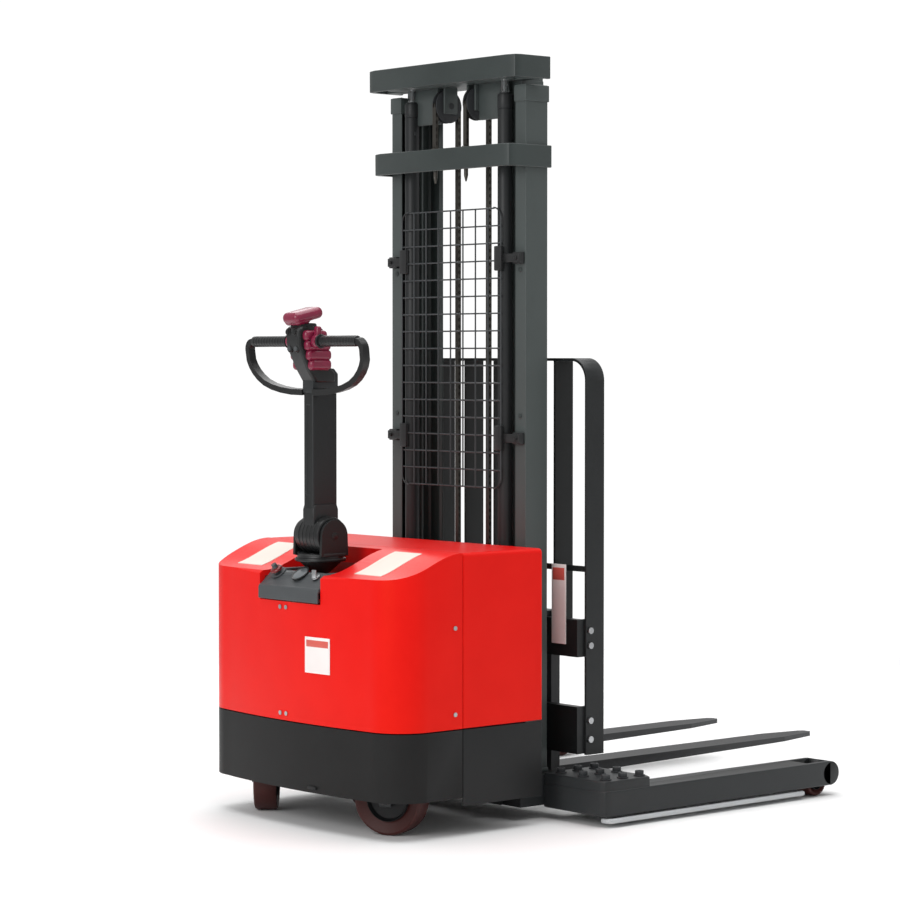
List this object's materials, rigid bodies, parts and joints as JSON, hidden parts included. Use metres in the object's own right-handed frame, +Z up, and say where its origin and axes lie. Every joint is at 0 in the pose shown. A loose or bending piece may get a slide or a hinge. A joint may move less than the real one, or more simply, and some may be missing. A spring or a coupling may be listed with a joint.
{
  "type": "walkie straddle stacker",
  "caption": "Pedestrian battery stacker with a two-stage mast, forks on a carriage, straddle legs and a steering tiller.",
  "frame": {"origin": "on the floor under the middle of the truck's length and width", "axes": "+X towards the fork tips, +Y to the left of a person at the tiller, +Z up"},
  "size_m": [1.8394, 1.184, 2.08],
  "materials": {
    "black_paint": "textured black enamel",
    "red_paint": "glossy red enamel",
    "grey_paint": "satin grey enamel",
    "bright_steel": "bright zinc",
    "chromed_rod": "hard chrome",
    "cast_housing": "as cast",
    "battery_case": "moulded",
    "dash_plastic": "moulded grey",
    "pad_plastic": "pale pad",
    "black_plastic": "moulded black",
    "red_plastic": "moulded red",
    "stop_plastic": "moulded dark red",
    "white_plastic": "moulded white",
    "tyre_brown": "reddish polyurethane",
    "chain_steel": "oiled",
    "boot_rubber": "matt",
    "aluminium_sink": "plain"
  },
  "bodies": {
    "chassis": {"chassis_frame": "black_paint", "rear_hood": "red_paint", "front_hood": "red_paint", "rear_skirt": "black_paint", "side_skirts": "black_paint", "dash_panel": "dash_plastic", "battery_gauge": "white_plastic", "hood_pads": "pad_plastic", "badge_plate": "bright_steel", "hood_screws": "bright_steel", "batteries": "battery_case", "pump_unit": "cast_housing", "hydraulic_tank": "white_plastic", "motor_controller": "aluminium_sink", "outer_mast_frame": "black_paint", "lift_cylinders": "black_paint", "mesh_guard": "black_paint", "straddle_leg_left": "black_paint", "straddle_leg_right": "black_paint", "leg_bolts": "bright_steel", "load_wheel_pins": "bright_steel", "steering_chain": "chain_steel", "rear_chains": "chain_steel"},
    "steering_column": {"tiller_base": "black_paint", "tiller_pivot_pin": "bright_steel"},
    "tiller": {"tiller_boot": "boot_rubber", "tiller_tube": "black_paint", "head_housing": "black_plastic", "head_shell": "red_plastic", "handle_loop": "black_plastic"},
    "belly_switch": {"belly_button": "red_plastic"},
    "throttle": {"throttle_wings": "red_plastic"},
    "lift_key": {"lift_button": "black_plastic"},
    "lower_key": {"lower_button": "black_plastic"},
    "horn_key": {"horn_button": "dash_plastic"},
    "speed_key": {"speed_button": "dash_plastic"},
    "key_switch": {"ignition_key": "bright_steel"},
    "stop_switch": {"emergency_stop": "stop_plastic"},
    "drive_unit": {"drive_turntable": "cast_housing", "drive_gearbox": "cast_housing", "traction_motor": "black_paint"},
    "drive_roller": {"drive_wheel": "tyre_brown"},
    "left_caster": {"caster_fork_left": "black_paint"},
    "right_caster": {"caster_fork_right": "black_paint"},
    "left_caster_roller": {"caster_wheel_left": "tyre_brown"},
    "right_caster_roller": {"caster_wheel_right": "tyre_brown"},
    "left_load_roller": {"load_wheel_left": "tyre_brown"},
    "right_load_roller": {"load_wheel_right": "tyre_brown"},
    "inner_mast": {"inner_mast_frame": "black_paint", "lift_rods": "chromed_rod", "front_chains": "chain_steel"},
    "pulleys": {"chain_pulleys": "cast_housing"},
    "mast_roller_pair": {"mast_rollers": "bright_steel"},
    "carriage": {"carriage_frame": "black_paint", "fork_left": "black_paint", "fork_right": "black_paint", "load_backrest": "black_paint", "backrest_bolts": "bright_steel"},
    "upper_roller_pair": {"upper_rollers": "bright_steel"},
    "lower_roller_pair": {"lower_rollers": "bright_steel"}
  },
  "joints": [
    {"name": "steer", "type": "hinge", "parent": "chassis", "child": "steering_column", "pos_m": [-0.8067, 0, 0.4], "axis": [0, 0, 1], "range_deg": [-90, 90]},
    {"name": "drive_turn", "type": "hinge", "parent": "chassis", "child": "drive_unit", "pos_m": [-0.5887, 0, 0.222], "axis": [0, 0, 1], "range_deg": [-90, 90]},
    {"name": "drive_roll", "type": "hinge", "parent": "drive_unit", "child": "drive_roller", "pos_m": [-0.5887, 0, 0.105], "axis": [0, 1, 0], "continuous": true},
    {"name": "tiller_tilt", "type": "hinge", "parent": "steering_column", "child": "tiller", "pos_m": [-0.8067, 0, 0.78], "axis": [0, -1, 0], "range_deg": [0, 85], "stiffness_Nm_per_rad": 40, "springref_deg": -57.3},
    {"name": "belly_press", "type": "slide", "parent": "tiller", "child": "belly_switch", "axis": [0, 0, -1], "range_m": [0, 0.006], "stiffness_N_per_m": 900, "springref_m": -0.004},
    {"name": "throttle_turn", "type": "hinge", "parent": "tiller", "child": "throttle", "pos_m": [-0.8587, 0, 1.303], "axis": [0, 1, 0], "range_deg": [-30, 30], "stiffness_Nm_per_rad": 0.6},
    {"name": "lift_press", "type": "slide", "parent": "tiller", "child": "lift_key", "axis": [1, 0, 0], "range_m": [0, 0.003], "stiffness_N_per_m": 500, "springref_m": -0.001},
    {"name": "lower_press", "type": "slide", "parent": "tiller", "child": "lower_key", "axis": [1, 0, 0], "range_m": [0, 0.003], "stiffness_N_per_m": 500, "springref_m": -0.001},
    {"name": "horn_press", "type": "slide", "parent": "tiller", "child": "horn_key", "axis": [1, 0, 0], "range_m": [0, 0.003], "stiffness_N_per_m": 500, "springref_m": -0.001},
    {"name": "speed_press", "type": "slide", "parent": "tiller", "child": "speed_key", "axis": [1, 0, 0], "range_m": [0, 0.003], "stiffness_N_per_m": 500, "springref_m": -0.001},
    {"name": "key_turn", "type": "hinge", "parent": "chassis", "child": "key_switch", "pos_m": [-0.8857, -0.084, 0.67333], "axis": [-0.5975, 0, 0.8019], "range_deg": [0, 90]},
    {"name": "stop_press", "type": "slide", "parent": "chassis", "child": "stop_switch", "axis": [0.5975, 0, -0.8019], "range_m": [0, 0.006]},
    {"name": "left_caster_swivel", "type": "hinge", "parent": "chassis", "child": "left_caster", "pos_m": [-0.7767, 0.284, 0.2], "axis": [0, 0, 1], "continuous": true},
    {"name": "right_caster_swivel", "type": "hinge", "parent": "chassis", "child": "right_caster", "pos_m": [-0.7767, -0.284, 0.2], "axis": [0, 0, 1], "continuous": true},
    {"name": "left_caster_roll", "type": "hinge", "parent": "left_caster", "child": "left_caster_roller", "pos_m": [-0.78451, 0.27489, 0.097], "axis": [-0.7593, 0.6508, 0], "continuous": true},
    {"name": "right_caster_roll", "type": "hinge", "parent": "right_caster", "child": "right_caster_roller", "pos_m": [-0.7817, -0.27309, 0.097], "axis": [0.9092, 0.4163, 0], "continuous": true},
    {"name": "left_load_roll", "type": "hinge", "parent": "chassis", "child": "left_load_roller", "pos_m": [0.5553, 0.536, 0.04], "axis": [0, 1, 0], "continuous": true},
    {"name": "right_load_roll", "type": "hinge", "parent": "chassis", "child": "right_load_roller", "pos_m": [0.5553, -0.536, 0.04], "axis": [0, 1, 0], "continuous": true},
    {"name": "mast_lift", "type": "slide", "parent": "chassis", "child": "inner_mast", "axis": [0, 0, 1], "range_m": [0, 1.45]},
    {"name": "carriage_lift", "type": "slide", "parent": "inner_mast", "child": "carriage", "axis": [0, 0, 1], "range_m": [0, 1.45], "deforming": ["front_chains"]},
    {"name": "pulley_turn", "type": "hinge", "parent": "inner_mast", "child": "pulleys", "pos_m": [-0.3027, 0, 1.967], "axis": [0, 1, 0], "range_deg": [-2000, 2000]},
    {"name": "mast_roller_turn", "type": "hinge", "parent": "inner_mast", "child": "mast_roller_pair", "pos_m": [-0.2807, 0, 0.171], "axis": [0, 1, 0], "range_deg": [-2900, 2900]},
    {"name": "upper_roller_turn", "type": "hinge", "parent": "carriage", "child": "upper_roller_pair", "pos_m": [-0.2547, 0, 0.478], "axis": [0, 1, 0], "range_deg": [-2900, 2900]},
    {"name": "lower_roller_turn", "type": "hinge", "parent": "carriage", "child": "lower_roller_pair", "pos_m": [-0.2547, 0, 0.205], "axis": [0, 1, 0], "range_deg": [-2900, 2900]}
  ],
  "couplings": [
    {"joint": "drive_turn", "follows": "steer", "ratio": 1},
    {"joint": "carriage_lift", "follows": "mast_lift", "ratio": 1},
    {"joint": "pulley_turn", "follows": "mast_lift", "rad_per_m": 23.809},
    {"joint": "mast_roller_turn", "follows": "mast_lift", "rad_per_m": 34.014},
    {"joint": "upper_roller_turn", "follows": "mast_lift", "rad_per_m": 34.014},
    {"joint": "lower_roller_turn", "follows": "mast_lift", "rad_per_m": 34.014}
  ]
}
